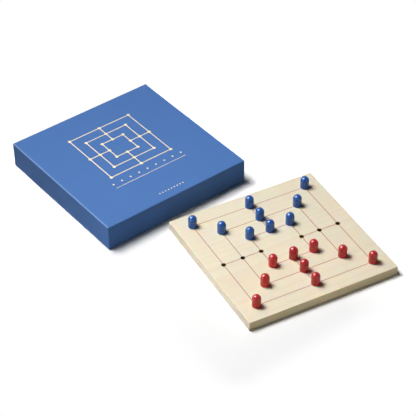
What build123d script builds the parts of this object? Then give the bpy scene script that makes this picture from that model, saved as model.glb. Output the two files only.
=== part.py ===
from build123d import *

import os

# A nine men's morris set, in millimetres: a shallow square box with a full-depth lift-off lid, and
# beside it the wooden board that the box holds, with both players' men standing in its holes.
# The origin is the middle of the box's underside. +X is the way the lid is read, +Y goes to the
# back and +Z up.

# ---------------------------------------------------------------- driving dimensions

# The closed box
BOX_SIDE = 210.0  # square, outside the lid
BOX_HEIGHT = 35.0  # from the table to the top of the lid
GREYBOARD = 1.5  # stiff board of the lid and the base
PAPER = 0.25  # covering paper with its glue
LID_PLAY = 0.25  # air between the lid's inside and the base's outside, all round
LID_RIM = 0.8  # height of the lid's rim over the table
BOX_EDGE = 1.0  # radius of the box's covered edges

# The paper tapes that hold the corners of the greyboard together
STAY_THICKNESS = 0.1
STAY_LEG = 20.0  # length along each of the two walls
STAY_TOP_MARGIN = 2.0  # from the end of the tape to the end of the wall

# The foil decoration on the lid: the game's diagram, a row of dots, a rule and a short row of dots
FOIL_THICKNESS = 0.1
FOIL_LINE = 1.2
FOIL_DOT = 4.2  # diameter at the diagram's points
FOIL_DIAGRAM_HALF = 46.0  # half the side of its outer square
FOIL_DIAGRAM_Y = 17.0  # its middle, behind the lid's own middle
FOIL_ROW_Y = -42.0
FOIL_ROW_DOT = 2.4
FOIL_ROW_PITCH = 13.0
FOIL_ROW_COUNT = 9  # dots in each of the two rows
FOIL_RULE_Y = -50.0
FOIL_RULE_WIDTH = 0.6
FOIL_FOOT_Y = -91.5
FOIL_FOOT_DOT = 1.8
FOIL_FOOT_PITCH = 4.4

# The folded rules leaflet on the floor of the tray
LEAFLET_LENGTH = 148.0
LEAFLET_WIDTH = 105.0
LEAFLET_SHEET = 0.3
LEAFLET_GAP = 0.2  # between its two leaves

# The game board, which lies beside the box and is turned a little
BOARD_X = 56.5
BOARD_Y = -235.0
BOARD_TURN = -10.0  # degrees about the upright
BOARD_SIDE = 201.0
BOARD_THICKNESS = 12.0
BOARD_EDGE = 0.5  # radius of its edges
SQUARES = (79.0, 53.0, 28.0)  # half the side of each of the game's three squares
HOLE_RADIUS = 2.5
HOLE_DEPTH = 8.5
HOLE_MOUTH_RADIUS = 2.8  # of the small 45 degree chamfer at its mouth
LINE_WIDTH = 0.7
LINE_DEPTH = 0.3
LINE_START = 3.5  # from a hole's middle to the end of a painted line

# A man: a domed head on a stem
MAN_RADIUS = 5.5
MAN_HEIGHT = 16.5  # above the board
MAN_FOOT_ROUND = 0.6
STEM_RADIUS = 2.42
STEM_LENGTH = 8.0
STEM_CHAMFER = 0.4

# ---------------------------------------------------------------- sizes that follow

BOARD_RADIUS = BOX_EDGE - PAPER  # greyboard edge under the paper

LID_BOARD_SIDE = BOX_SIDE - 2 * PAPER
LID_BOARD_INSIDE = LID_BOARD_SIDE - 2 * GREYBOARD
LID_CLEAR = LID_BOARD_INSIDE - 2 * PAPER
LID_BOARD_TOP = BOX_HEIGHT - PAPER
LID_LINER_TOP = LID_BOARD_TOP - GREYBOARD
BASE_RIM = LID_LINER_TOP - PAPER  # the lid's liner rests on the rim of the base

BASE_SIDE = LID_CLEAR - 2 * LID_PLAY
BASE_BOARD_SIDE = BASE_SIDE - 2 * PAPER
BASE_BOARD_INSIDE = BASE_BOARD_SIDE - 2 * GREYBOARD
TRAY_CLEAR = BASE_BOARD_INSIDE - 2 * PAPER
BASE_BOARD_FLOOR = PAPER + GREYBOARD
TRAY_FLOOR = BASE_BOARD_FLOOR + PAPER

BOARD_UNDERSIDE = Plane(Location((BOARD_X, BOARD_Y, 0), (0, 0, BOARD_TURN)))
BOARD_TOP = BOARD_UNDERSIDE.offset(BOARD_THICKNESS)

os.makedirs("parts", exist_ok=True)


def finish(builder, name):
    """Names a finished piece and writes it."""
    builder.part.label = name
    export_step(builder.part, f"parts/{name}.step")
    print(f"{name}: {len(builder.part.solids())} solids, {builder.part.volume / 1000:.3f} cm3")


def round_box_edges(builder, radius, top=True):
    """Rounds the upright edges of a square block and, on a lid, those of its top."""
    edges = builder.edges().filter_by(Axis.Z)
    if top:
        edges += builder.edges().group_by(Axis.Z)[-1]
    fillet(edges, radius)


def corner_stays(name, side, bottom, top):
    """Four tapes, each folded round one upright corner of a greyboard square of this side."""
    with BuildPart() as stays:
        with BuildSketch(Plane.XY.offset(bottom)):
            with GridLocations(side, side, 2, 2):
                Rectangle(2 * STAY_LEG, 2 * STAY_LEG)
            outside = side + 2 * STAY_THICKNESS
            RectangleRounded(outside, outside, BOARD_RADIUS + STAY_THICKNESS, mode=Mode.INTERSECT)
            RectangleRounded(side, side, BOARD_RADIUS, mode=Mode.SUBTRACT)
        extrude(amount=top - bottom)
    finish(stays, name)
    return stays


# ---------------------------------------------------------------- the lid

with BuildPart() as lid_board:
    with BuildSketch(Plane.XY.offset(LID_RIM + PAPER)):
        Rectangle(LID_BOARD_SIDE, LID_BOARD_SIDE)
    extrude(amount=LID_BOARD_TOP - LID_RIM - PAPER)
    round_box_edges(lid_board, BOARD_RADIUS)
    with BuildSketch(Plane.XY.offset(LID_RIM + PAPER)):
        Rectangle(LID_BOARD_INSIDE, LID_BOARD_INSIDE)
    extrude(amount=LID_LINER_TOP - LID_RIM - PAPER, mode=Mode.SUBTRACT)
finish(lid_board, "lid_board")

lid_corner_stays = corner_stays(
    "lid_corner_stays", LID_BOARD_SIDE, LID_RIM + PAPER, LID_BOARD_TOP - STAY_TOP_MARGIN
)

with BuildPart() as lid_liner:
    with BuildSketch(Plane.XY.offset(BASE_RIM)):
        Rectangle(LID_BOARD_INSIDE, LID_BOARD_INSIDE)
    extrude(amount=PAPER)
finish(lid_liner, "lid_liner")

# One skin of paper: over the outside, round the rim and up the inside of the walls to the liner.
with BuildPart() as lid_wrap:
    with BuildSketch(Plane.XY.offset(LID_RIM)):
        Rectangle(BOX_SIDE, BOX_SIDE)
    extrude(amount=BOX_HEIGHT - LID_RIM)
    round_box_edges(lid_wrap, BOX_EDGE)
    with BuildSketch(Plane.XY.offset(LID_RIM)):
        Rectangle(LID_CLEAR, LID_CLEAR)
    extrude(amount=BASE_RIM - LID_RIM, mode=Mode.SUBTRACT)
    add(lid_board.part, mode=Mode.SUBTRACT)
    add(lid_corner_stays.part, mode=Mode.SUBTRACT)
    add(lid_liner.part, mode=Mode.SUBTRACT)
finish(lid_wrap, "lid_wrap")


# The game's diagram: three squares, one inside the other, joined at the middles of their sides.
STEPS = [(i, j) for i in (-1, 0, 1) for j in (-1, 0, 1) if (i, j) != (0, 0)]
SIDE_DIRECTIONS = [(1, 0), (0, 1), (-1, 0), (0, -1)]
FOIL_SQUARES = [FOIL_DIAGRAM_HALF * half / SQUARES[0] for half in SQUARES]

with BuildPart() as lid_foil:
    with BuildSketch(Plane.XY.offset(BOX_HEIGHT)):
        with Locations((0, FOIL_DIAGRAM_Y)):
            for half in FOIL_SQUARES:
                Rectangle(2 * half + FOIL_LINE, 2 * half + FOIL_LINE)
                Rectangle(2 * half - FOIL_LINE, 2 * half - FOIL_LINE, mode=Mode.SUBTRACT)
            link = FOIL_SQUARES[0] - FOIL_SQUARES[-1]
            with PolarLocations((FOIL_SQUARES[0] + FOIL_SQUARES[-1]) / 2, 4):
                Rectangle(link, FOIL_LINE)
            for half in FOIL_SQUARES:
                with Locations(*[(half * i, half * j) for i, j in STEPS]):
                    Circle(FOIL_DOT / 2)
        with Locations((0, FOIL_ROW_Y)):
            with GridLocations(FOIL_ROW_PITCH, 0, FOIL_ROW_COUNT, 1):
                Circle(FOIL_ROW_DOT / 2)
        with Locations((0, FOIL_RULE_Y)):
            row_length = (FOIL_ROW_COUNT - 1) * FOIL_ROW_PITCH + FOIL_ROW_DOT
            Rectangle(row_length, FOIL_RULE_WIDTH)
        with Locations((0, FOIL_FOOT_Y)):
            with GridLocations(FOIL_FOOT_PITCH, 0, FOIL_ROW_COUNT, 1):
                Circle(FOIL_FOOT_DOT / 2)
    extrude(amount=FOIL_THICKNESS)
finish(lid_foil, "lid_foil")

# ---------------------------------------------------------------- the base

with BuildPart() as base_board:
    with BuildSketch(Plane.XY.offset(PAPER)):
        Rectangle(BASE_BOARD_SIDE, BASE_BOARD_SIDE)
    extrude(amount=BASE_RIM - 2 * PAPER)
    round_box_edges(base_board, BOARD_RADIUS, top=False)
    with BuildSketch(Plane.XY.offset(BASE_BOARD_FLOOR)):
        Rectangle(BASE_BOARD_INSIDE, BASE_BOARD_INSIDE)
    extrude(amount=BASE_RIM - PAPER - BASE_BOARD_FLOOR, mode=Mode.SUBTRACT)
finish(base_board, "base_board")

base_corner_stays = corner_stays(
    "base_corner_stays", BASE_BOARD_SIDE, PAPER + STAY_TOP_MARGIN, BASE_RIM - PAPER
)

with BuildPart() as base_liner:
    with BuildSketch(Plane.XY.offset(BASE_BOARD_FLOOR)):
        Rectangle(BASE_BOARD_INSIDE, BASE_BOARD_INSIDE)
    extrude(amount=PAPER)
finish(base_liner, "base_liner")

with BuildPart() as base_bottom_paper:
    with BuildSketch():
        RectangleRounded(BASE_SIDE, BASE_SIDE, BOX_EDGE)
    extrude(amount=PAPER)
finish(base_bottom_paper, "base_bottom_paper")

# One skin of paper: up the outside, over the rim and down the inside to the liner.
with BuildPart() as base_wrap:
    with BuildSketch(Plane.XY.offset(PAPER)):
        Rectangle(BASE_SIDE, BASE_SIDE)
    extrude(amount=BASE_RIM - PAPER)
    round_box_edges(base_wrap, BOX_EDGE, top=False)
    with BuildSketch(Plane.XY.offset(TRAY_FLOOR)):
        Rectangle(TRAY_CLEAR, TRAY_CLEAR)
    extrude(amount=BASE_RIM - TRAY_FLOOR, mode=Mode.SUBTRACT)
    add(base_board.part, mode=Mode.SUBTRACT)
    add(base_corner_stays.part, mode=Mode.SUBTRACT)
    add(base_liner.part, mode=Mode.SUBTRACT)
finish(base_wrap, "base_wrap")

# ---------------------------------------------------------------- the rules leaflet

LEAFLET_THICKNESS = 2 * LEAFLET_SHEET + LEAFLET_GAP
LEAFLET_MIDDLE = TRAY_FLOOR + LEAFLET_THICKNESS / 2
FOLD_X = -LEAFLET_LENGTH / 2 + LEAFLET_THICKNESS / 2  # middle of the round of the fold

# One sheet folded once: its section is a long flat U with the fold on the left.
with BuildPart() as rules_leaflet:
    with BuildSketch(Plane.XZ.offset(-LEAFLET_WIDTH / 2)):
        with BuildLine():
            for thickness in (LEAFLET_THICKNESS, LEAFLET_GAP):
                low = LEAFLET_MIDDLE - thickness / 2
                high = LEAFLET_MIDDLE + thickness / 2
                Line((LEAFLET_LENGTH / 2, low), (FOLD_X, low))
                ThreePointArc((FOLD_X, low), (FOLD_X - thickness / 2, LEAFLET_MIDDLE), (FOLD_X, high))
                Line((FOLD_X, high), (LEAFLET_LENGTH / 2, high))
            for side in (-1, 1):
                near = LEAFLET_MIDDLE + side * LEAFLET_GAP / 2
                far = LEAFLET_MIDDLE + side * LEAFLET_THICKNESS / 2
                Line((LEAFLET_LENGTH / 2, near), (LEAFLET_LENGTH / 2, far))
        make_face()
    extrude(amount=LEAFLET_WIDTH)
finish(rules_leaflet, "rules_leaflet")

# ---------------------------------------------------------------- the game board

HOLE_POINTS = [(half * i, half * j) for half in SQUARES for i, j in STEPS]

# The painted lines run from hole to hole, along the sides of the squares and the four links.
with BuildPart() as painted_lines:
    with BuildSketch(BOARD_TOP):
        for half in SQUARES:
            run = half - 2 * LINE_START  # half of a side, less the room round its two holes
            for x, y in SIDE_DIRECTIONS:
                for end in (-1, 1):
                    middle = (half * x - end * half / 2 * y, half * y + end * half / 2 * x)
                    with Locations(middle):
                        Rectangle(abs(y) * run or LINE_WIDTH, abs(x) * run or LINE_WIDTH)
        for outer, inner in zip(SQUARES, SQUARES[1:]):
            with PolarLocations((outer + inner) / 2, 4):
                Rectangle(outer - inner - 2 * LINE_START, LINE_WIDTH)
    extrude(amount=-LINE_DEPTH)
finish(painted_lines, "painted_lines")

with BuildPart() as game_board:
    with BuildSketch(BOARD_UNDERSIDE):
        Rectangle(BOARD_SIDE, BOARD_SIDE)
    extrude(amount=BOARD_THICKNESS)
    fillet(game_board.edges(), BOARD_EDGE)
    with Locations(BOARD_TOP):
        with Locations(*HOLE_POINTS):
            CounterSinkHole(HOLE_RADIUS, HOLE_MOUTH_RADIUS, HOLE_DEPTH, counter_sink_angle=90)
    add(painted_lines.part, mode=Mode.SUBTRACT)
finish(game_board, "game_board")

# ---------------------------------------------------------------- the men

# Each player's men stand on all the points of the back or the front rows, outer square first.
# The points on the middle line between the players are free.
for player, rows in (("blue", 1), ("red", -1)):
    starts = [(half * i, half * rows) for half in SQUARES for i in (-1, 0, 1)]
    for number, (x, y) in enumerate(starts, 1):
        seat = Plane(BOARD_TOP.location * Location((x, y, 0)))
        upright = Plane(seat.origin, x_dir=seat.x_dir, z_dir=-seat.y_dir)  # across and up
        with BuildPart() as man:
            with BuildSketch(upright):
                with BuildLine():
                    Polyline(
                        (0, MAN_HEIGHT),
                        (0, -STEM_LENGTH),
                        (STEM_RADIUS - STEM_CHAMFER, -STEM_LENGTH),
                        (STEM_RADIUS, STEM_CHAMFER - STEM_LENGTH),
                        (STEM_RADIUS, 0),
                        (MAN_RADIUS - MAN_FOOT_ROUND, 0),
                    )
                    side_low = (MAN_RADIUS, MAN_FOOT_ROUND)
                    side_high = (MAN_RADIUS, MAN_HEIGHT - MAN_RADIUS)
                    RadiusArc((MAN_RADIUS - MAN_FOOT_ROUND, 0), side_low, -MAN_FOOT_ROUND)
                    Line(side_low, side_high)
                    RadiusArc(side_high, (0, MAN_HEIGHT), -MAN_RADIUS)
                make_face()
            revolve(axis=Axis(seat.origin, seat.z_dir))
        finish(man, f"{player}_man_{number}")
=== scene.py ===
# %% [markdown]
# # A nine men's morris set: a covered box, a drilled wooden board and eighteen lacquered men
#
# The CAD model already holds every piece at its real size, and it is loaded here as a fixed frame.
# This lesson dresses it. Some CAD pieces keep their shape and only get a finish: the drilled
# board, the painted lines, the foil, the grey boards with their tapes, the flat linings and the
# paper under the base. Others get a finer surface worked out with numpy: the covering papers of
# lid and base, the eighteen turned men and the folded rules leaflet. Everything is in metres, and
# the box stands in the middle of the world.

import math

import bmesh
import bpy
import numpy as np
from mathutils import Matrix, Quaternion, Vector


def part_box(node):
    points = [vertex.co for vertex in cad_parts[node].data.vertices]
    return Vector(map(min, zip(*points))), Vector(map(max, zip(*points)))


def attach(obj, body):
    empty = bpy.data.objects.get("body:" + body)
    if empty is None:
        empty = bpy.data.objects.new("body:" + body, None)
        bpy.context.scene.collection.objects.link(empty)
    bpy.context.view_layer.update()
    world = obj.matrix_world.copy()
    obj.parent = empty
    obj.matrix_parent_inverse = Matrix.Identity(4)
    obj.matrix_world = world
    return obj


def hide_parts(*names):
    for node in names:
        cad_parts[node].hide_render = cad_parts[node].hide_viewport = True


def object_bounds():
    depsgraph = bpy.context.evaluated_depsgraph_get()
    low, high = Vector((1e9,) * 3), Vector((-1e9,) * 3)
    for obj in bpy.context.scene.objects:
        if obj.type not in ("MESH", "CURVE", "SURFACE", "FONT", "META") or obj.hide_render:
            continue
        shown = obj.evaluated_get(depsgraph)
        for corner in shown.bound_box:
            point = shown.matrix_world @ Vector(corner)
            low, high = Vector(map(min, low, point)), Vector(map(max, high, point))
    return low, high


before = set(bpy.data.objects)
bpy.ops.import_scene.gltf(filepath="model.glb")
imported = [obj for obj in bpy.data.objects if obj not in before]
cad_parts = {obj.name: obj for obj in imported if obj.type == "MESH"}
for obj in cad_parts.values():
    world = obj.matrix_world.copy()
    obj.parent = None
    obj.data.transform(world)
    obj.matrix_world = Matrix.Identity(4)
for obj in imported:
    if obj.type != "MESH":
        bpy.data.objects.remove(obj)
cad_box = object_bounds()
MM = 0.001  # sizes below are written in millimetres and multiplied by this

# %% [markdown]
# ## The camera
#
# The set was photographed with a long lens from the front left, looking down at about forty
# degrees, so the upright edges stay nearly parallel. The camera could be placed by hand until it
# looks right, but the eleven corners of the box and the board that show in the photograph fix it
# completely: its direction, distance and lens were solved from them, with less than half a pixel
# left over. It is written here as a direction from the point it aims at, which is how a
# photographer would describe it.

# %% Place the camera
AIM = Vector((37.15, -116.55, 0.0)) * MM  # the point on the table in the middle of the picture
CAMERA_AZIMUTH = math.radians(-37.79)  # from straight in front; minus is towards the left
CAMERA_ELEVATION = math.radians(40.18)
CAMERA_ROLL = math.radians(-0.384)
CAMERA_DISTANCE = 1956.7 * MM
FOCAL_LENGTH, SENSOR_WIDTH = 136.1, 36.0  # Blender wants these two in mm

towards_camera = Vector(
    (
        math.sin(CAMERA_AZIMUTH) * math.cos(CAMERA_ELEVATION),
        -math.cos(CAMERA_AZIMUTH) * math.cos(CAMERA_ELEVATION),
        math.sin(CAMERA_ELEVATION),
    )
)
camera = bpy.data.objects.new("camera", bpy.data.cameras.new("camera"))
camera.data.lens = FOCAL_LENGTH
camera.data.sensor_width = SENSOR_WIDTH
camera.location = AIM + towards_camera * CAMERA_DISTANCE
camera.rotation_mode = "QUATERNION"
roll = Quaternion((0, 0, 1), CAMERA_ROLL)
camera.rotation_quaternion = towards_camera.to_track_quat("Z", "Y") @ roll
bpy.context.scene.collection.objects.link(camera)
bpy.context.scene.camera = camera
print("camera at", [round(value, 3) for value in camera.location])

# %% [markdown]
# ## The light
#
# A round softbox hangs about a metre up at the back left. It gives the short soft shadows to the
# right of every man and along the front of the box and the board. A sun lamp would light the table
# evenly, but its shadows would be equally long everywhere, and here they grow towards the front,
# which shows that the real lamp was near. A near lamp leaves the far end of the table dark, so a
# photographer points it past the set and puts a honeycomb grid on it: what is right under the lamp
# then gets only its weak edge. Blender's area lamp has that grid too, as its spread. Two small
# softboxes with narrower grids stand low on the left and in front, both aimed at the board, and
# lift its left and front sides, which are much brighter than those of the box. The highlights on
# the men are stronger and lie a little lower than the key's own reflection would. A fourth lamp
# behind the key gives them. It is made invisible to matt surfaces, so that the light on the set
# stays as it is. For each lamp the brightness is written that its face would have in the picture,
# where white is 1.

# %% Hang the lamps
WIDE_GRID, NARROW_GRID = math.radians(120), math.radians(70)


def softbox(name, place, target, diameter, face, spread, lights_matt=True):
    """A round lamp at a place, aimed at a target. Both points and its diameter are in mm.

    face is the brightness of its face, white being 1. Power is brightness times pi times the area
    of the face. A grid concentrates the light, so the power is divided by the gain of the grid,
    tan h / (tan h - h), where h is half the spread. A lamp that doesn't light matt surfaces shows
    in gloss alone.
    """
    lamp = bpy.data.lights.new(name, "AREA")
    lamp.shape = "DISK"
    lamp.size = diameter * MM
    lamp.spread = spread
    half_spread = spread / 2
    grid_gain = math.tan(half_spread) / (math.tan(half_spread) - half_spread)
    area = math.pi * lamp.size**2 / 4
    lamp.energy = face * math.pi * area / grid_gain
    hung = bpy.data.objects.new(name, lamp)
    hung.location = Vector(place) * MM
    hung.rotation_mode = "QUATERNION"
    hung.rotation_quaternion = (Vector(place) - Vector(target)).to_track_quat("Z", "Y")
    hung.visible_camera = False
    hung.visible_diffuse = lights_matt
    bpy.context.scene.collection.objects.link(hung)
    print(f"{name}: {lamp.energy:.3f} W")


softbox("key", (-265, 210, 1160), (80, -500, 0), diameter=600, face=23.4, spread=WIDE_GRID)
softbox("left", (-500, -205, 32), (-50, -232, 0), diameter=64, face=72, spread=NARROW_GRID)
softbox("front", (15, -760, 35), (30, -340, 5), diameter=60, face=27, spread=NARROW_GRID)
softbox(
    "glint",
    (-420, 460, 960),
    (56, -235, 20),
    diameter=500,
    face=48,
    spread=WIDE_GRID,
    lights_matt=False,
)

# %% [markdown]
# ## A helper for nodes, and one for colours
#
# A material is a small network of nodes. One helper adds a node, sets its own settings and fills
# its inputs, either with a value or with the output of another node. Colours are written as they
# are read off a screen, in sRGB hex, but shading is done in linear light, so one function turns
# the one into the other.

# %% Node and colour helpers


def colour(code):
    """A hex code in sRGB as linear red, green, blue and an alpha of one."""
    srgb = np.array([int(code[i : i + 2], 16) for i in (1, 3, 5)]) / 255
    linear = np.where(srgb <= 0.04045, srgb / 12.92, ((srgb + 0.055) / 1.055) ** 2.4)
    return (*linear.tolist(), 1.0)


def add(tree, kind, inputs=None, **settings):
    """Adds one shader node. settings are its own; an input is a value or another node's output."""
    made = tree.nodes.new("ShaderNode" + kind)
    for name, value in settings.items():
        setattr(made, name, value)
    for socket, value in (inputs or {}).items():
        if isinstance(value, bpy.types.NodeSocket):
            tree.links.new(value, made.inputs[socket])
        else:
            made.inputs[socket].default_value = value
    return made


def start_material(name):
    """A new empty material. Returns it with its node tree."""
    material = bpy.data.materials.new(name)
    material.use_nodes = True
    material.node_tree.nodes.clear()
    return material, material.node_tree


# %% [markdown]
# ## Surroundings and table
#
# The set stands on a seamless white sheet. To the eye the sheet is pure white, yet it hardly
# throws any light back on the set: the side of the box that is turned away from the lamp is
# dark. A plain white floor can't be both. Light Path tells what kind of ray arrives: rays from
# the camera, and those that mirror or pass through a surface, see the white sheet, and all other
# rays see a greyer one. Both are diffuse surfaces, so the set's shadow stays on the sheet. The
# near lamp leaves the outer parts of the table dimmer, so the white sheet gets whiter with the
# distance from the best lit point. Just outside the set's outline, where its shadows end, the
# sheet goes over into plain white. The surroundings are done the same way: a white backdrop and
# a dim ceiling to look at, and only a faint light from all round.

# %% Tell the rays apart


def seen_rays(tree):
    """One for rays from the camera, off a mirror or through a surface, nought for all others."""
    path = add(tree, "LightPath")
    straight = add(
        tree,
        "Math",
        {0: path.outputs["Is Camera Ray"], 1: path.outputs["Is Glossy Ray"]},
        operation="MAXIMUM",
    )
    return add(
        tree,
        "Math",
        {0: straight.outputs[0], 1: path.outputs["Is Transmission Ray"]},
        operation="MAXIMUM",
    ).outputs[0]


# %% Make the surroundings
AMBIENT = 0.012  # light from all round, as a share of white
BACKDROP_TOP = math.radians(28)  # up to here the surroundings are the white backdrop
CEILING_START = math.radians(50)  # and from here up they are the dim ceiling of the studio
CEILING = 0.15  # how bright it is, white being 1

world = bpy.data.worlds.new("surroundings")
world.use_nodes = True
tree = world.node_tree
tree.nodes.clear()
towards = add(tree, "TexCoord").outputs["Generated"]
upwards = add(tree, "SeparateXYZ", {0: towards}).outputs["Z"]
backdrop = add(
    tree,
    "MapRange",
    {
        "Value": upwards,
        "From Min": math.sin(BACKDROP_TOP),
        "From Max": math.sin(CEILING_START),
        "To Min": 1.0,
        "To Max": CEILING,
    },
    interpolation_type="SMOOTHSTEP",
).outputs[0]
strength = add(
    tree, "MapRange", {"Value": seen_rays(tree), "To Min": AMBIENT, "To Max": backdrop}
)
sky = add(tree, "Background", {"Color": (1, 1, 1, 1), "Strength": strength.outputs["Result"]})
add(tree, "OutputWorld", {"Surface": sky.outputs[0]})
bpy.context.scene.world = world
print(f"backdrop up to {math.degrees(BACKDROP_TOP):.0f} degrees, ambient light {AMBIENT}")

# %% Colour the sheet
SHEET_BOUNCE = 0.46  # the grey of the sheet that throws light back on the set
BEST_LIT = Vector((-120, -300, 0)) * MM  # where the key lights the table most
NEAR, FAR = 180 * MM, 380 * MM  # distances from the best lit point
SEEN_NEAR, SEEN_FAR = 0.97, 1.6  # how white the seen sheet is at these distances
FADE_START, FADE_END = 8 * MM, 40 * MM  # outside the set's outline it goes over into plain white

sheet_paper, tree = start_material("matt white paper sheet")
on_sheet = add(tree, "TexCoord").outputs["Object"]
away = add(tree, "VectorMath", {0: on_sheet, 1: BEST_LIT}, operation="DISTANCE").outputs["Value"]
seen = add(
    tree,
    "MapRange",
    {
        "Value": away,
        "From Min": NEAR,
        "From Max": FAR,
        "To Min": SEEN_NEAR,
        "To Max": SEEN_FAR,
    },
).outputs[0]
# How far a point lies outside the set's outline: in each direction what its distance from the
# middle has over half the set's size, and then the length of these together.
set_middle = (cad_box[0] + cad_box[1]) / 2
set_half = (cad_box[1] - cad_box[0]) / 2
shifted = add(tree, "VectorMath", {0: on_sheet, 1: set_middle}, operation="SUBTRACT").outputs[0]
sideways = add(tree, "VectorMath", {0: shifted}, operation="ABSOLUTE").outputs[0]
beyond = add(tree, "VectorMath", {0: sideways, 1: set_half}, operation="SUBTRACT").outputs[0]
surplus = add(tree, "VectorMath", {0: beyond, 1: (0, 0, 0)}, operation="MAXIMUM").outputs[0]
outside = add(tree, "VectorMath", {0: surplus}, operation="LENGTH").outputs["Value"]
fade = add(
    tree,
    "MapRange",
    {"Value": outside, "From Min": FADE_START, "From Max": FADE_END},
    interpolation_type="SMOOTHSTEP",
).outputs[0]
near = add(tree, "BsdfDiffuse", {"Color": seen})
far = add(tree, "Emission", {"Color": (1, 1, 1, 1), "Strength": 1.0})
shown = add(tree, "MixShader", {0: fade, 1: near.outputs[0], 2: far.outputs[0]})
bounced = add(tree, "BsdfDiffuse", {"Color": (SHEET_BOUNCE, SHEET_BOUNCE, SHEET_BOUNCE, 1)})
sheet_mix = add(
    tree, "MixShader", {0: seen_rays(tree), 1: bounced.outputs[0], 2: shown.outputs[0]}
)
add(tree, "OutputMaterial", {"Surface": sheet_mix.outputs[0]})
print(sheet_paper.name)

# %% Lay the sheet
SHEET_SIDE = 12.0  # in metres, so that its edges are far outside the picture

sheet_corners = np.array([(-1, -1, 0), (1, -1, 0), (1, 1, 0), (-1, 1, 0)]) * SHEET_SIDE / 2
sheet_mesh = bpy.data.meshes.new("table_sheet")
sheet_mesh.from_pydata(sheet_corners.tolist(), [], [(0, 1, 2, 3)])
sheet_mesh.materials.append(sheet_paper)
sheet = bpy.data.objects.new("table_sheet", sheet_mesh)
bpy.context.scene.collection.objects.link(sheet)
bpy.context.scene.view_settings.view_transform = "Standard"  # colours come out as written
print(f"the sheet is {SHEET_SIDE:.0f} m wide")

# %% [markdown]
# ## Covering paper
#
# The box is covered with printed paper: a coated sheet, offset printed in one solid blue and
# sealed with a matt varnish, then glued over grey board. Its sheen is low and broad. Up close it
# has the fine tooth of the varnish, a faint cloudiness of the ink, and a lighter line along the
# folds of the left and right walls, partly wear where the coating cracks and partly a painted
# highlight of the light from the left. The cloudiness is noise at its real size, and the tooth is
# noise drawn coarser. The folds come from an attribute named "fold" that the covers below carry
# on their points, so the line follows the piece and not the camera.

# %% Printed covering paper
PAPER_TOOTH = 0.7 * MM  # the real tooth is about 0.1 mm; drawn coarser so that it shows
INK_CLOUD = 38 * MM  # how wide the faint clouds in the ink are


def covering_paper(name, ink, fold_highlight_ink):
    """Matt varnished offset print on coated paper; fold_highlight_ink is its colour at the folds.

    The ink is scaled by its flecks times its clouds, each close to one. The lighter colour at the
    folds is partly wear and partly painted highlight.
    """
    material, tree = start_material(name)
    place = add(tree, "TexCoord").outputs["Object"]
    tooth = add(
        tree,
        "TexNoise",
        {"Vector": place, "Scale": 1 / PAPER_TOOTH, "Detail": 3.0, "Roughness": 0.6},
    ).outputs["Fac"]
    cloud = add(
        tree,
        "TexNoise",
        {"Vector": place, "Scale": 1 / INK_CLOUD, "Detail": 4.0, "Roughness": 0.55},
    ).outputs["Fac"]
    fleck = add(
        tree,
        "MapRange",
        {"Value": tooth, "From Min": 0.3, "From Max": 0.7, "To Min": 0.93, "To Max": 1.07},
    ).outputs[0]
    drift = add(tree, "MapRange", {"Value": cloud, "To Min": 0.96, "To Max": 1.04}).outputs[0]
    shade = add(tree, "Math", {0: fleck, 1: drift}, operation="MULTIPLY").outputs[0]
    inked = add(tree, "VectorMath", {0: colour(ink)[:3], "Scale": shade}, operation="SCALE")
    # Painted highlight, partly: the lighter line at the folds is partly wear and partly the
    # highlight of the light from the left.
    fold = add(tree, "Attribute", attribute_name="fold").outputs["Fac"]
    worn_and_highlit = add(tree, "Math", {0: fold, 1: tooth}, operation="MULTIPLY").outputs[0]
    face = add(
        tree,
        "Mix",
        {"Factor": worn_and_highlit, "A": inked.outputs[0], "B": colour(fold_highlight_ink)},
        data_type="RGBA",
    )
    sheen = add(tree, "MapRange", {"Value": cloud, "To Min": 0.44, "To Max": 0.54}).outputs[0]
    relief = add(tree, "Bump", {"Height": tooth, "Strength": 0.12, "Distance": 0.05 * MM})
    shader = add(
        tree,
        "BsdfPrincipled",
        {
            "Base Color": face.outputs["Result"],
            "Roughness": sheen,
            "IOR": 1.5,
            "Specular IOR Level": 0.03,
            "Normal": relief.outputs[0],
        },
    )
    add(tree, "OutputMaterial", {"Surface": shader.outputs[0]})
    return material


# The fold colour is partly wear and partly painted highlight.
blue_paper = covering_paper(
    "offset printed blue covering paper, matt varnish", ink="#537BB9", fold_highlight_ink="#9FC4F4"
)
print(blue_paper.name)

# %% [markdown]
# ## Helpers for surfaces
#
# Every new shape in this lesson is a grid of points, worked out as one numpy array: rows run down
# the outside of the piece and columns run round it. One helper turns the array into a mesh and
# closes it where the last column meets the first. Where a whole row falls on one point, as at the
# tip of a dome, the doubles are merged, so the pole is closed too. A second helper gives the
# points of an arc, because most sections here are straight lines joined by arcs.

# %% Grid to mesh, and arcs
MERGE = 0.001 * MM  # points closer than this are one point


def grid_piece(name, points, material, closed=True, **marks):
    """A mesh object from an array of rows x columns x 3 in millimetres.

    Rows run downwards on the outside and columns anticlockwise seen from above, which makes the
    faces look outwards. marks are numbers for each point, kept as attributes of that name.
    """
    rows, columns = points.shape[:2]
    index = np.arange(rows * columns).reshape(rows, columns)
    if closed:
        index = np.concatenate([index, index[:, :1]], axis=1)
    corners = (index[:-1, :-1], index[1:, :-1], index[1:, 1:], index[:-1, 1:])
    faces = np.stack(corners, axis=-1).reshape(-1, 4)
    mesh = bpy.data.meshes.new(name)
    mesh.from_pydata((points.reshape(-1, 3) * MM).tolist(), [], faces.tolist())
    for mark, values in marks.items():
        layer = mesh.attributes.new(mark, "FLOAT", "POINT")
        layer.data.foreach_set("value", values.astype(np.float32).ravel())
    work = bmesh.new()
    work.from_mesh(mesh)
    bmesh.ops.remove_doubles(work, verts=work.verts, dist=MERGE)
    work.to_mesh(mesh)
    work.free()
    mesh.shade_smooth()
    mesh.materials.append(material)
    piece = bpy.data.objects.new(name, mesh)
    bpy.context.scene.collection.objects.link(piece)
    return piece


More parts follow.
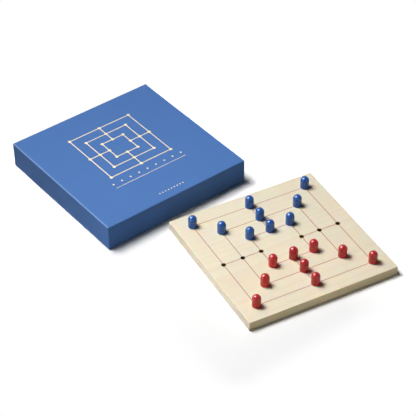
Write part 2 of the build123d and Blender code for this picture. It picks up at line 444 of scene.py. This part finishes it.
def arc(centre, radius, start, end, steps):
    """Points of a section on a circle, from one angle to another in degrees, ends included."""
    angle = np.radians(np.linspace(start, end, steps + 1))
    middle = np.array(centre, float)
    return middle + radius * np.stack([np.cos(angle), np.sin(angle)], axis=1)


def thicken(piece, thickness, side):
    """Gives a skin its thickness in mm: all of it below its faces at side -1, half of it at 0."""
    solidify = piece.modifiers.new("thickness", "SOLIDIFY")
    solidify.thickness = thickness * MM
    solidify.offset = side


# %% [markdown]
# ## The covers of the lid and the base
#
# A box like this is covered with one cross-shaped sheet: the middle panel is glued to the top,
# the four sides are brought down, and the rest is turned round the rim and glued inside. At each
# corner the left and right walls carry a small flap that goes round the corner, under the paper of
# the front or back wall, so there is a cut edge close to the corner and a faint step where the
# flap ends below the paper. It could be modelled as a bevelled box with cuts, but a cover is
# really one section, from the middle of the panel to the end of the turned-in edge, carried round
# a rounded square, and that is how it is made here.

# %% Once round a rounded square
EDGE = 1.0  # radius of the covered edges, in mm
# Distances from a corner to the middle of its wall, in mm, close together where the papers step.
WALL_MARKS = (0, 0.4, 0.5, 0.6, 0.7, 0.9, 2, 5, 9, 11.3, 12, 12.7, 16, 24, 36, 52, 70, 88, 104)
CORNER_STEPS = 6


def round_the_square():
    """One turn round a square of half-side 1, as positions q and outward directions n.

    Along a wall n stays and q runs from corner to corner, with more points near the corners. At a
    corner q stays and n turns by 90 degrees. A rounded square of half-side h and corner radius c
    is then (h - c) q + c n.
    """
    half_wall = 1 - np.array(WALL_MARKS) / WALL_MARKS[-1]
    along = np.concatenate([-half_wall, half_wall[-2::-1]])
    turn = np.radians(np.linspace(0, 90, CORNER_STEPS + 1)[1:-1])
    wall = np.stack([np.ones_like(along), along, np.ones_like(along), np.zeros_like(along)], axis=1)
    corner = np.stack([np.ones_like(turn), np.ones_like(turn), np.cos(turn), np.sin(turn)], axis=1)
    quarter = np.concatenate([wall, corner]).reshape(-1, 2, 2)
    turns = [np.array(t, float) for t in ([[1, 0], [0, 1]], [[0, 1], [-1, 0]])]
    turns += [-turns[0], -turns[1]]
    whole = np.concatenate([quarter @ t for t in turns])
    return whole[:, 0], whole[:, 1]


# %% Carry a section round it
PAPER = 0.25  # with its glue
FLAP = 12.0  # length of a corner flap
FLAP_SLOPE = 0.4  # how far the upper paper takes to come down off it
PAPER_STEP = 0.1  # the step where one paper ends on or under another
CUT_EDGE = 0.6  # from the corner to the cut edge of the upper paper
CUT_SLOPE = 0.03  # a cut edge is steep
FOLD_REACH = 0.6  # how far the lighter line of a fold spreads


def cover(name, section, bends, outside, material):
    """A covering paper from its section, an array of half-side h and height z in mm.

    The corner radius follows from h: it is EDGE on the outside and falls to nought EDGE further
    in. The front and back walls are at their full size where the paper lies over a flap, and one
    paper step lower elsewhere, as are the left and right walls, which have one layer only. Both
    steps, off the flap and at the cut, follow a hyperbolic tangent.
    bends are the points of the section where a fold shows. Its lighter line fades with the distance
    from them, and only the left and right walls have one: the line is partly wear and partly
    painted highlight of the light from the left.
    """
    q, n = round_the_square()
    h, z = section[:, :1], section[:, 1:]
    c = np.clip(h - (outside - EDGE), 0, EDGE)
    from_corner = (1 - np.minimum(np.abs(q[:, 0]), np.abs(q[:, 1]))) * outside
    over_flap = 0.5 - 0.5 * np.tanh((from_corner - FLAP) / FLAP_SLOPE)
    past_cut = 0.5 + 0.5 * np.tanh((from_corner - CUT_EDGE) / CUT_SLOPE)
    front_or_back = np.abs(n[:, 1]) > 0.999  # that is, one, apart from rounding
    lower = 1 - front_or_back * over_flap * past_cut
    reach = c - lower * PAPER_STEP * c / EDGE
    plan = (h - c)[..., None] * q + reach[..., None] * n
    points = np.dstack([plan, np.broadcast_to(z, plan.shape[:2])])
    from_bend = np.hypot(*(section[:, None] - bends[None]).transpose(2, 0, 1)).min(axis=1)
    # Painted highlight, partly: only the left and right walls get the lighter fold line.
    fold = np.exp(-((from_bend / FOLD_REACH) ** 2))[:, None] * np.abs(n[:, 0])
    piece = grid_piece(name, points, material, fold=fold)
    thicken(piece, PAPER, side=-1)
    print(f"{name}: {points.shape[0]} rows of {points.shape[1]} points")
    return piece


# %% [markdown]
# The lid's section starts in the middle of the top panel, goes over the edge and down the wall,
# turns round the rim and ends inside, at the lining. The base's section starts inside, where the
# wall meets the floor of the tray, goes over the rim and ends at the bottom paper. Their outer
# sizes are read from the CAD papers that they replace.

# %% Cover the lid
WALL = 2.0  # grey board with paper on both sides
RIM_ROUND = 0.4
EDGE_STEPS, RIM_STEPS = 8, 4
TOP_RINGS = (0, 20, 40, 60, 80, 95, 101, 102.6, 103.2)  # their half-sides, out to the edge
WALL_ROWS = np.array([0.6, 1.4, 3, 8, 15, 22, 27, 29.6, 31.2])  # down from the upper bend


def span(node):
    """Half the width, the lowest and the highest height of a CAD node, in mm."""
    low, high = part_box(node)
    return (high.x - low.x) / 2 / MM, low.z / MM, high.z / MM


lid_half, lid_rim, lid_top = span("lid_wrap")
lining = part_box("lid_liner")[0].z / MM
lid_panel = np.array([(ring, lid_top) for ring in TOP_RINGS])
lid_edge = arc((lid_half - EDGE, lid_top - EDGE), EDGE, 90, 0, EDGE_STEPS)
lid_wall = np.stack([np.full_like(WALL_ROWS, lid_half), lid_top - EDGE - WALL_ROWS], axis=1)
lid_rim_outside = arc(
    (lid_half - RIM_ROUND, lid_rim + RIM_ROUND), RIM_ROUND, 0, -90, RIM_STEPS
)
lid_rim_inside = arc(
    (lid_half - WALL + RIM_ROUND, lid_rim + RIM_ROUND), RIM_ROUND, -90, -180, RIM_STEPS
)
lid_inside = np.array([(lid_half - WALL, z) for z in (2.0, 10.0, 20.0, 30.0, lining)])
lid_section = np.concatenate(
    [lid_panel, lid_edge, lid_wall, lid_rim_outside, lid_rim_inside, lid_inside]
)
# Painted highlight, partly: the lighter fold line runs only on the upper half of the lid's edge.
highlit_upper_half = lid_edge[: EDGE_STEPS // 2 + 1]  # the line of the fold shows on top
lid_bends = np.concatenate([highlit_upper_half, lid_rim_outside, lid_rim_inside])
lid_cover = cover("lid_cover", lid_section, lid_bends, lid_half, blue_paper)
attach(lid_cover, "lid")
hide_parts("lid_wrap")

# %% Cover the base
base_half, base_foot, base_rim = span("base_wrap")
tray_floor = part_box("base_liner")[1].z / MM
base_inside = np.array([(base_half - WALL, z) for z in (tray_floor, 10.0, 20.0, 30.0)])
base_rim_inside = arc(
    (base_half - WALL + RIM_ROUND, base_rim - RIM_ROUND), RIM_ROUND, 180, 90, RIM_STEPS
)
base_rim_outside = arc(
    (base_half - RIM_ROUND, base_rim - RIM_ROUND), RIM_ROUND, 90, 0, RIM_STEPS
)
base_wall = np.array([(base_half, z) for z in (30.0, 24.0, 16.0, 8.0, 2.0, base_foot)])
base_bends = np.concatenate([base_rim_inside, base_rim_outside])
base_section = np.concatenate([base_inside, base_bends, base_wall])
base_cover = cover("base_cover", base_section, base_bends, base_half, blue_paper)
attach(base_cover, "base")
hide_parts("base_wrap")

# %% [markdown]
# ## Gloss lacquer on turned wood
#
# The men are beech pegs, coloured with one dip of thick gloss lacquer. Lacquer over wood is never
# quite a mirror. Beech has short hard rays that stand up a little when the lacquer wets the wood,
# and over them the coat dries thinner and lighter. The lacquer also keeps a slight orange peel of
# its own. The grain runs up the man, so the rays are noise that is stretched upwards; the orange
# peel is round noise. Both tilt the surface a little, which breaks up the edge of the highlight
# as the real thing does. The pigment floats in the clear lacquer and tints its highlight.

# %% Dipped gloss lacquer
RAY = 1.6 * MM  # real beech rays are 0.2 to 0.5 mm wide; drawn coarser so that they show
RAY_LENGTH = 2.8 * MM
ORANGE_PEEL = 1.1 * MM


def dipped_lacquer(name, tone, thin_tone, shine):
    """Pigmented gloss lacquer over beech; thin_tone shows over the rays, where the coat is thin.

    shine is the tint that the pigment gives to the highlight.
    """
    material, tree = start_material(name)
    place = add(tree, "TexCoord").outputs["Object"]
    upright = add(
        tree,
        "Mapping",
        {"Vector": place, "Scale": (1 / RAY, 1 / RAY, 1 / RAY_LENGTH)},
    ).outputs[0]
    rays = add(
        tree, "TexNoise", {"Vector": upright, "Scale": 1.0, "Detail": 3.0, "Roughness": 0.6}
    ).outputs["Fac"]
    peel = add(
        tree, "TexNoise", {"Vector": place, "Scale": 1 / ORANGE_PEEL, "Detail": 1.0}
    ).outputs["Fac"]
    thin = add(
        tree, "MapRange", {"Value": rays, "From Min": 0.53, "From Max": 0.63, "To Max": 0.6}
    ).outputs[0]
    coat = add(
        tree,
        "Mix",
        {"Factor": thin, "A": colour(tone), "B": colour(thin_tone)},
        data_type="RGBA",
    )
    sheen = add(tree, "MapRange", {"Value": peel, "To Min": 0.26, "To Max": 0.34}).outputs[0]
    raised = add(tree, "Bump", {"Height": rays, "Strength": 0.12, "Distance": 0.04 * MM})
    skin = add(
        tree,
        "Bump",
        {"Height": peel, "Strength": 0.12, "Distance": 0.06 * MM, "Normal": raised.outputs[0]},
    )
    shader = add(
        tree,
        "BsdfPrincipled",
        {
            "Base Color": coat.outputs["Result"],
            "Roughness": sheen,
            "IOR": 1.55,
            "Specular Tint": colour(shine),
            "Normal": skin.outputs[0],
        },
    )
    add(tree, "OutputMaterial", {"Surface": shader.outputs[0]})
    return material


lacquers = {
    "blue": dipped_lacquer("blue gloss lacquer, dipped on beech", "#08489E", "#3E76B4", "#E2F6FF"),
    "red": dipped_lacquer("red gloss lacquer, dipped on beech", "#B80A1C", "#D24A42", "#FFEBE4"),
}
print([material.name for material in lacquers.values()])

# %% [markdown]
# ## The eighteen men
#
# A man is a surface of revolution: a half ball on a straight body, a foot with its edge just
# broken, and a thin peg below that goes into the board. A lathe makes it by turning a section
# about an upright line, and so does this cell. The dip leaves a slight bead of lacquer above the
# foot, a few hundredths of a millimetre thick, which catches the light. Where the peg meets the
# foot, a ring lies close to the corner on either side, and one lies just above the peg's chamfer,
# so that smooth shading doesn't round them off.

# %% Turn the men
FOOT_ROUND = 0.6
PEG_RADIUS = 2.42  # the hole leaves it 0.08 mm of play all round
PEG_CHAMFER = 0.4
CRISP = 0.1  # how close the rings beside a sharp corner lie to it
LEVEL_RING = 1.0  # each level face has a ring this far from the man's side or middle line
BEAD = 0.05  # how far the bead of lacquer stands out
BEAD_HEIGHT, BEAD_SPREAD = 1.6, 1.1  # of its middle above the foot, and up and down from there
BODY_FROM = 4.0  # only rings wider than this are part of the body, and not of the peg
DOME_STEPS, BODY_STEPS, FOOT_STEPS, TURNED_COLUMNS = 16, 12, 6, 56


def turned_section(radius, tip, foot, end):
    """Radius and height from the tip of the dome down to the end of the peg, in mm.

    A quarter circle, a straight line, a small quarter circle, a level line in to the peg, a
    straight line down, a short slope and a level line to the middle. Then the body is made
    thinner by BEAD times 1 - exp(-d^2), where d is the distance from the bead's middle over its
    spread.
    """
    dome = arc((0, tip - radius), radius, 90, 0, DOME_STEPS)
    drop = np.linspace(tip - radius, foot + FOOT_ROUND, BODY_STEPS)[1:-1]
    body = np.stack([np.full_like(drop, radius), drop], axis=1)
    edge = arc((radius - FOOT_ROUND, foot + FOOT_ROUND), FOOT_ROUND, 0, -90, FOOT_STEPS)
    shoulder = [(radius - LEVEL_RING, foot), (PEG_RADIUS + CRISP, foot), (PEG_RADIUS, foot)]
    peg = [(PEG_RADIUS, foot - CRISP), (PEG_RADIUS, end + PEG_CHAMFER + CRISP)]
    slope = [(PEG_RADIUS, end + PEG_CHAMFER), (PEG_RADIUS - PEG_CHAMFER, end)]
    underside = [(LEVEL_RING, end), (0, end)]
    section = np.concatenate([dome, body, edge, shoulder, peg, slope, underside])
    from_bead = (section[:, 1] - foot - BEAD_HEIGHT) / BEAD_SPREAD
    section[:, 0] -= BEAD * (1 - np.exp(-(from_bead**2))) * (section[:, 0] > BODY_FROM)
    return section


def lathe(section, middle):
    """x = cx + r cos a, y = cy + r sin a and z as it is, for all angles a round the upright."""
    angle = np.linspace(0, 2 * np.pi, TURNED_COLUMNS, endpoint=False)
    around = np.stack([np.cos(angle), np.sin(angle)], axis=1)
    plan = np.array(middle) + section[:, :1, None] * around
    return np.dstack([plan, np.broadcast_to(section[:, 1:], plan.shape[:2])])


board_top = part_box("game_board")[1].z / MM
for side, lacquer in lacquers.items():
    for number in range(1, 10):
        body = f"{side}_man_{number}"
        low, high = (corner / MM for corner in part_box(body))
        section = turned_section((high.x - low.x) / 2, high.z, board_top, low.z)
        middle = ((low.x + high.x) / 2, (low.y + high.y) / 2)
        man = grid_piece(f"{body}_turned", lathe(section, middle), lacquer)
        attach(man, body)
        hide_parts(body)
print(f"18 men, each {len(section)} rows of {TURNED_COLUMNS} points")

# %% [markdown]
# ## Pale wood
#
# The board is planed from one piece of pale, even wood such as lime or maple, sanded fine and
# given a thin matt lacquer. Its figure is faint: the growth rings are a few percent darker, the
# fibres are shorter and finer, and there are a few small flecks. A flat picture of grain would run
# on over the edges in the wrong way. Wood is solid, so the pattern is solid too: rings are
# distances from a line that runs along the board, deep below it, and fibres are noise stretched
# along that line. On the two ends the same pattern shows as end grain by itself. The pattern is
# turned with the board. The two edges along the grain are painted lighter and more yellow, as
# painted light for the warm light on the board's front side. The walls of the holes and a thin
# ring round their mouths are painted dark brown, as painted shade in the holes. Both are chosen by
# where a point lies in the board, which needs no cutting of the piece: the holes are on the
# corners and the middles of the sides of three squares, so the distance to the nearest one follows
# from the larger and the smaller of a point's two distances from the middle lines.

# %% The board in its log, and the growth rings
BOARD_MIDDLE = (56.5 * MM, -235 * MM, 0)
BOARD_TURN = math.radians(-10)
PITH_DEPTH = 95 * MM  # how far the middle of the log was below the board
PITH_ASIDE = 30 * MM
RING = 4.5 * MM  # real rings here are 2 to 5 mm apart
LATE_WOOD = 2.5  # the higher, the narrower the dark end of a ring
BEND_SIZE, BEND_REACH = 26 * MM, 9 * MM  # the rings aren't quite round: how often and how far
BEND_ALONG = 0.06  # along the log they change this much slower

board_wood, tree = start_material("pale lime wood, sanded, thin matt lacquer")
in_board = add(
    tree,
    "Mapping",
    {
        "Vector": add(tree, "TexCoord").outputs["Object"],
        "Location": BOARD_MIDDLE,
        "Rotation": (0, 0, BOARD_TURN),
    },
    vector_type="TEXTURE",
).outputs[0]
in_log = add(
    tree,
    "Mapping",
    {"Vector": in_board, "Location": (0, PITH_ASIDE, PITH_DEPTH), "Scale": (BEND_ALONG, 1, 1)},
).outputs[0]
wander = add(
    tree, "TexNoise", {"Vector": in_log, "Scale": 1 / BEND_SIZE, "Detail": 2.0}
).outputs["Color"]
bend = add(tree, "VectorMath", {0: wander, "Scale": BEND_REACH}, operation="SCALE").outputs[0]
bent = add(tree, "VectorMath", {0: in_log, 1: bend}, operation="ADD").outputs[0]
across = add(tree, "VectorMath", {0: bent, 1: (0, 1, 1)}, operation="MULTIPLY").outputs[0]
from_pith = add(tree, "VectorMath", {0: across}, operation="LENGTH").outputs["Value"]
years = add(tree, "Math", {0: from_pith, 1: 1 / RING}, operation="MULTIPLY").outputs[0]
year = add(tree, "Math", {0: years}, operation="FRACT").outputs[0]
late = add(tree, "Math", {0: year, 1: LATE_WOOD}, operation="POWER").outputs[0]
print(f"{PITH_DEPTH / RING:.0f} years from the middle of the log to the board")

# %% Fibres, flecks and patches
FIBRE = 0.55 * MM  # real fibres are finer than 0.1 mm; drawn coarser so that they show
FIBRE_LENGTH = 16 * MM
FLECK_LENGTH, FLECK_WIDTH = 4.571 * MM, 1.0 * MM  # pith flecks, at their real size
PATCH = 70 * MM  # the colour drifts a little over this distance

fibre_space = add(
    tree, "Mapping", {"Vector": in_board, "Scale": (1 / FIBRE_LENGTH, 1 / FIBRE, 1 / FIBRE)}
).outputs[0]
fibre = add(
    tree, "TexNoise", {"Vector": fibre_space, "Scale": 1.0, "Detail": 4.0, "Roughness": 0.65}
).outputs["Fac"]
fleck_space = add(
    tree,
    "Mapping",
    {"Vector": in_board, "Scale": (1 / FLECK_LENGTH, 1 / FLECK_WIDTH, 1 / FLECK_WIDTH)},
).outputs[0]
speckle = add(
    tree, "TexNoise", {"Vector": fleck_space, "Scale": 1.0, "Detail": 1.0}
).outputs["Fac"]
fleck = add(
    tree, "MapRange", {"Value": speckle, "From Min": 0.66, "From Max": 0.78, "To Max": 0.5}
).outputs[0]
patch = add(
    tree, "TexNoise", {"Vector": in_board, "Scale": 1 / PATCH, "Detail": 2.0}
).outputs["Fac"]
ring_shade = add(tree, "MapRange", {"Value": late, "To Min": 1.0, "To Max": 0.99}).outputs[0]
fibre_shade = add(tree, "MapRange", {"Value": fibre, "To Min": 0.965, "To Max": 1.035}).outputs[0]
patch_shade = add(tree, "MapRange", {"Value": patch, "To Min": 0.985, "To Max": 1.015}).outputs[0]
grain = add(tree, "Math", {0: ring_shade, 1: fibre_shade}, operation="MULTIPLY").outputs[0]
figure = add(tree, "Math", {0: grain, 1: patch_shade}, operation="MULTIPLY").outputs[0]
plain = add(
    tree,
    "Mix",
    {"Factor": late, "A": colour("#EEE3CB"), "B": colour("#ECDFC4")},
    data_type="RGBA",
).outputs["Result"]
flecked = add(
    tree, "Mix", {"Factor": fleck, "A": plain, "B": colour("#E0CEAA")}, data_type="RGBA"
).outputs["Result"]
print(f"fibres {FIBRE / MM} mm wide, flecks {FLECK_WIDTH / MM} mm")

# %% Painted light on the long edges, and painted shade in the holes
EDGE_INSET = 100.1 * MM  # from here to the board's half side it turns over into the edge
HALF_SIDE = 100.5 * MM
HOLE_SQUARES = (79 * MM, 53 * MM, 28 * MM)  # half sides of the three squares with the holes
# Painted shade: the walls of the holes and a thin ring round their mouths are painted dark brown.
HOLE_SHADE_FULL, HOLE_SHADE_END = 2.9 * MM, 3.15 * MM  # from the middle of a hole, whose radius is 2.5
HOLE_SHADE_BOTTOM = 2.0 * MM  # the drill stops above this height

board_axes = add(tree, "SeparateXYZ", {0: in_board})
x_out = add(tree, "Math", {0: board_axes.outputs["X"]}, operation="ABSOLUTE").outputs[0]
y_out = add(tree, "Math", {0: board_axes.outputs["Y"]}, operation="ABSOLUTE").outputs[0]
# Painted light: the two long edges are painted lighter and yellower, for the warm light on the
# board's front side.
long_edge_light_mask = add(
    tree, "MapRange", {"Value": y_out, "From Min": EDGE_INSET, "From Max": HALF_SIDE}
).outputs[0]
edge_lit_wood = add(
    tree, "Mix", {"Factor": long_edge_light_mask, "A": flecked, "B": colour("#FFE8BC")}, data_type="RGBA"
).outputs["Result"]
larger = add(tree, "Math", {0: x_out, 1: y_out}, operation="MAXIMUM").outputs[0]
smaller = add(tree, "Math", {0: x_out, 1: y_out}, operation="MINIMUM").outputs[0]
to_hole = HALF_SIDE  # farther than the nearest hole ever is; the loop brings it down
for square in HOLE_SQUARES:
    off_side = add(tree, "Math", {0: larger, 1: square}, operation="SUBTRACT").outputs[0]
    past_corner = add(tree, "Math", {0: smaller, 1: square}, operation="SUBTRACT").outputs[0]
    to_corner = add(tree, "Math", {0: past_corner}, operation="ABSOLUTE").outputs[0]
    along_side = add(tree, "Math", {0: smaller, 1: to_corner}, operation="MINIMUM").outputs[0]
    both_ways = add(tree, "CombineXYZ", {"X": off_side, "Y": along_side}).outputs[0]
    distance = add(tree, "VectorMath", {0: both_ways}, operation="LENGTH").outputs["Value"]
    to_hole = add(tree, "Math", {0: to_hole, 1: distance}, operation="MINIMUM").outputs[0]
near_hole = add(
    tree, "MapRange", {"Value": to_hole, "From Min": HOLE_SHADE_END, "From Max": HOLE_SHADE_FULL}
).outputs[0]
drilled = add(
    tree, "Math", {0: board_axes.outputs["Z"], 1: HOLE_SHADE_BOTTOM}, operation="GREATER_THAN"
).outputs[0]
hole_shade_mask = add(tree, "Math", {0: near_hole, 1: drilled}, operation="MULTIPLY").outputs[0]
# Painted shade: dark brown in the holes and round their rims.
shade_painted = add(
    tree, "Mix", {"Factor": hole_shade_mask, "A": edge_lit_wood, "B": colour("#70501E")}, data_type="RGBA"
).outputs["Result"]
print(f"{8 * len(HOLE_SQUARES)} scorched holes")

# %% Matt lacquer over the wood
wood_tone = add(tree, "VectorMath", {0: shade_painted, "Scale": figure}, operation="SCALE").outputs[0]
wood_relief = add(tree, "Bump", {"Height": fibre, "Strength": 0.15, "Distance": 0.08 * MM})
wood_sheen = add(tree, "MapRange", {"Value": fibre, "To Min": 0.5, "To Max": 0.64}).outputs[0]
lacquered = add(
    tree,
    "BsdfPrincipled",
    {
        "Base Color": wood_tone,
        "Roughness": wood_sheen,
        "IOR": 1.45,
        "Specular IOR Level": 0.3,
        "Subsurface Weight": 0.45,
        "Subsurface Radius": (1.0, 0.5, 0.2),
        "Subsurface Scale": 2.2 * MM,
        "Normal": wood_relief.outputs[0],
    },
)
add(tree, "OutputMaterial", {"Surface": lacquered.outputs[0]})
print(board_wood.name)

# %% [markdown]
# ## Plain finishes
#
# The other finishes need one pattern each, so one function makes them all: a base colour that
# drifts to a second one with noise of a real size, the same noise as relief, and a roughness.
# The foil is the exception in one thing, it is a metal film: the hot die presses it flat on the
# paper, so it takes over the tooth of the paper and shines softly instead of like a mirror.

# %% One function for the plain finishes


def plain_finish(name, first, second, grain, relief, roughness, specular=0.5, metallic=0.0):
    """A mix of a first and a second colour by noise of the size grain, in mm.

    The same noise is raised, and relief is how strongly, from nought to one.
    """
    material, tree = start_material(name)
    place = add(tree, "TexCoord").outputs["Object"]
    noise = add(
        tree,
        "TexNoise",
        {"Vector": place, "Scale": 1 / (grain * MM), "Detail": 5.0, "Roughness": 0.62},
    ).outputs["Fac"]
    amount = add(tree, "MapRange", {"Value": noise, "From Min": 0.3, "From Max": 0.7}).outputs[0]
    tone = add(
        tree,
        "Mix",
        {"Factor": amount, "A": colour(first), "B": colour(second)},
        data_type="RGBA",
    )
    tooth = add(tree, "Bump", {"Height": noise, "Strength": relief, "Distance": 0.1 * MM})
    shader = add(
        tree,
        "BsdfPrincipled",
        {
            "Base Color": tone.outputs["Result"],
            "Roughness": roughness,
            "Specular IOR Level": specular,
            "Metallic": metallic,
            "Normal": tooth.outputs[0],
        },
    )
    add(tree, "OutputMaterial", {"Surface": shader.outputs[0]})
    return material


# %% Board, tape, lining, paint and foil
# Milled pulp of old paper: grey with lighter and darker fibres, and very matt.
greyboard = plain_finish(
    "recycled grey board, raw",
    first="#A69F94",
    second="#8C857A",
    grain=0.9,
    relief=0.5,
    roughness=0.9,
    specular=0.3,
)
# Unbleached long fibres, calendered: brown, a little streaky, with a dull shine.
kraft_tape = plain_finish(
    "unbleached kraft paper tape",
    first="#B8915E",
    second="#A27C4B",
    grain=1.4,
    relief=0.3,
    roughness=0.7,
    specular=0.4,
)
# Bleached pulp with no coating: white with a trace of yellow, and no shine.
liner_paper = plain_finish(
    "uncoated white lining paper",
    first="#F0E8D8",
    second="#E8DFCC",
    grain=0.8,
    relief=0.3,
    roughness=0.85,
    specular=0.3,
)
# Thinned oil paint rubbed into a cut line: matt, and paler where the wood shows through.
line_paint = plain_finish(
    "thin brick red paint in a cut line",
    first="#A83A2E",
    second="#BA5040",
    grain=1.6,
    relief=0.3,
    roughness=0.7,
)
# Metal vapour on a film, pressed on with heat: a satin that glows over a wide angle. Its gold is
# a tinted lacquer over the metal, so it counts as half a metal.
gold_foil = plain_finish(
    "pale gold hot stamping foil, satin",
    first="#FFF2CA",
    second="#F4E2B4",
    grain=0.5,
    relief=0.15,
    roughness=0.42,
    metallic=0.5,
)
print([finish.name for finish in (greyboard, kraft_tape, liner_paper, line_paint, gold_foil)])

# %% Put the finishes on the CAD pieces that keep their shape
finishes = {
    "game_board": board_wood,
    "painted_lines": line_paint,
    "lid_board": greyboard,
    "base_board": greyboard,
    "lid_corner_stays": kraft_tape,
    "base_corner_stays": kraft_tape,
    "lid_liner": liner_paper,
    "base_liner": liner_paper,
    "base_bottom_paper": blue_paper,
    "lid_foil": gold_foil,
}
for node, finish in finishes.items():
    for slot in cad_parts[node].material_slots:
        slot.material = finish
print(f"{len(finishes)} CAD pieces keep their shape")

# %% [markdown]
# ## The rules leaflet
#
# The leaflet is one sheet of uncoated paper, folded once, and it lies loose on the floor of the
# tray. A new fold never lies quite flat, so its upper leaf springs up a little towards the free
# edge. It is one curve, from the free edge of the lower leaf round the fold to the free edge of
# the upper one, drawn out over the leaflet's length. Its print is a plain plan of the three
# squares, worked out in the material: the larger of the two distances from the middle is the
# same all round a square, so one comparison draws one square.

# %% The plan that is printed on the leaflet
PRINT_LINE = 0.7 * MM
PRINT_SQUARES = (30 * MM, 20 * MM, 10 * MM)  # half sides, the outer one first

leaflet_low, leaflet_high = (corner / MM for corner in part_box("rules_leaflet"))
leaflet_middle = (leaflet_low + leaflet_high) / 2 * MM
leaflet_paper, tree = start_material("uncoated leaflet paper, printed in one blue")
on_leaflet = add(tree, "TexCoord").outputs["Object"]
on_page = add(tree, "Mapping", {"Vector": on_leaflet, "Location": -leaflet_middle}).outputs[0]
page_axes = add(tree, "SeparateXYZ", {0: on_page})
x_away = add(tree, "Math", {0: page_axes.outputs["X"]}, operation="ABSOLUTE").outputs[0]
y_away = add(tree, "Math", {0: page_axes.outputs["Y"]}, operation="ABSOLUTE").outputs[0]
farther = add(tree, "Math", {0: x_away, 1: y_away}, operation="MAXIMUM").outputs[0]
nearer = add(tree, "Math", {0: x_away, 1: y_away}, operation="MINIMUM").outputs[0]
half_way = (PRINT_SQUARES[0] + PRINT_SQUARES[-1]) / 2  # between the outer and the inner square
half_gap = (PRINT_SQUARES[0] - PRINT_SQUARES[-1]) / 2
on_cross = add(
    tree, "Math", {0: nearer, 1: 0.0, 2: PRINT_LINE / 2}, operation="COMPARE"
).outputs[0]
between = add(
    tree, "Math", {0: farther, 1: half_way, 2: half_gap}, operation="COMPARE"
).outputs[0]
ink = add(tree, "Math", {0: on_cross, 1: between}, operation="MULTIPLY").outputs[0]
for square in PRINT_SQUARES:
    line = add(
        tree, "Math", {0: farther, 1: square, 2: PRINT_LINE / 2}, operation="COMPARE"
    ).outputs[0]
    ink = add(tree, "Math", {0: ink, 1: line}, operation="MAXIMUM").outputs[0]
print(f"{len(PRINT_SQUARES)} squares, printed {PRINT_LINE / MM} mm wide")

# %% Printed leaflet paper
LEAFLET_TOOTH = 0.6 * MM  # drawn coarser than the real tooth so that it shows

tooth = add(
    tree, "TexNoise", {"Vector": on_leaflet, "Scale": 1 / LEAFLET_TOOTH, "Detail": 4.0}
).outputs["Fac"]
stock = add(
    tree,
    "Mix",
    {"Factor": tooth, "A": colour("#F4EFE4"), "B": colour("#EBE4D6")},
    data_type="RGBA",
).outputs["Result"]
page = add(
    tree, "Mix", {"Factor": ink, "A": stock, "B": colour("#4A74AE")}, data_type="RGBA"
).outputs["Result"]
page_relief = add(tree, "Bump", {"Height": tooth, "Strength": 0.3, "Distance": 0.05 * MM})
printed = add(
    tree,
    "BsdfPrincipled",
    {
        "Base Color": page,
        "Roughness": 0.85,
        "Specular IOR Level": 0.3,
        "Normal": page_relief.outputs[0],
    },
)
add(tree, "OutputMaterial", {"Surface": printed.outputs[0]})
print(leaflet_paper.name)

# %% Fold the leaflet
LEAF_THICKNESS = 0.3  # of its paper, in mm
SPRING = 0.5  # how far the free edge of the upper leaf stands up, in mm
FLATTEST = 0.65  # the share of it at the end that springs least
SWELL = 0.8 * math.pi  # this much of a sine puts the highest place beyond the middle
CROWDING = 1.5  # the higher, the closer together the points lie near the fold
FOLD_STEPS, LEAF_STEPS, LENGTH_STEPS = 8, 30, 40


def folded_sheet(low, high):
    """The middle of the paper: x and z along the fold's section, y along the leaflet.

    The lower leaf is level. The fold is half a circle. The upper leaf starts level and rises with
    the square of the distance from the fold, and by a sine along the leaflet, from its flattest
    end over the highest place to the other end. Points lie closer together near the fold.
    """
    lower_z, upper_z = low.z + LEAF_THICKNESS / 2, high.z - LEAF_THICKNESS / 2
    bend = (upper_z - lower_z) / 2
    start = low.x + LEAF_THICKNESS / 2 + bend
    away = np.linspace(0, 1, LEAF_STEPS + 1) ** CROWDING * (high.x - start)
    half_turn = np.radians(np.linspace(270, 90, FOLD_STEPS + 1))[1:-1]
    x = np.concatenate([start + away[::-1], start + bend * np.cos(half_turn), start + away])
    level = np.full_like(away, lower_z)
    round_fold = (lower_z + upper_z) / 2 + bend * np.sin(half_turn)
    z = np.concatenate([level, round_fold, np.full_like(away, upper_z)])
    rise = np.concatenate([0 * away, 0 * half_turn, (away / away[-1]) ** 2])
    y = np.linspace(low.y, high.y, LENGTH_STEPS + 1)
    share = FLATTEST + (1 - FLATTEST) * np.sin(SWELL * (y - low.y) / (high.y - low.y))
    heights = z[:, None] + SPRING * rise[:, None] * share
    wide = np.ones_like(heights)
    return np.dstack([x[:, None] * wide, y * wide, heights])


leaflet = grid_piece(
    "leaflet_sheet", folded_sheet(leaflet_low, leaflet_high), leaflet_paper, closed=False
)
thicken(leaflet, LEAF_THICKNESS, side=0)
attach(leaflet, "leaflet")
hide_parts("rules_leaflet")
print("leaflet", [round(value, 2) for value in leaflet_high - leaflet_low], "mm")
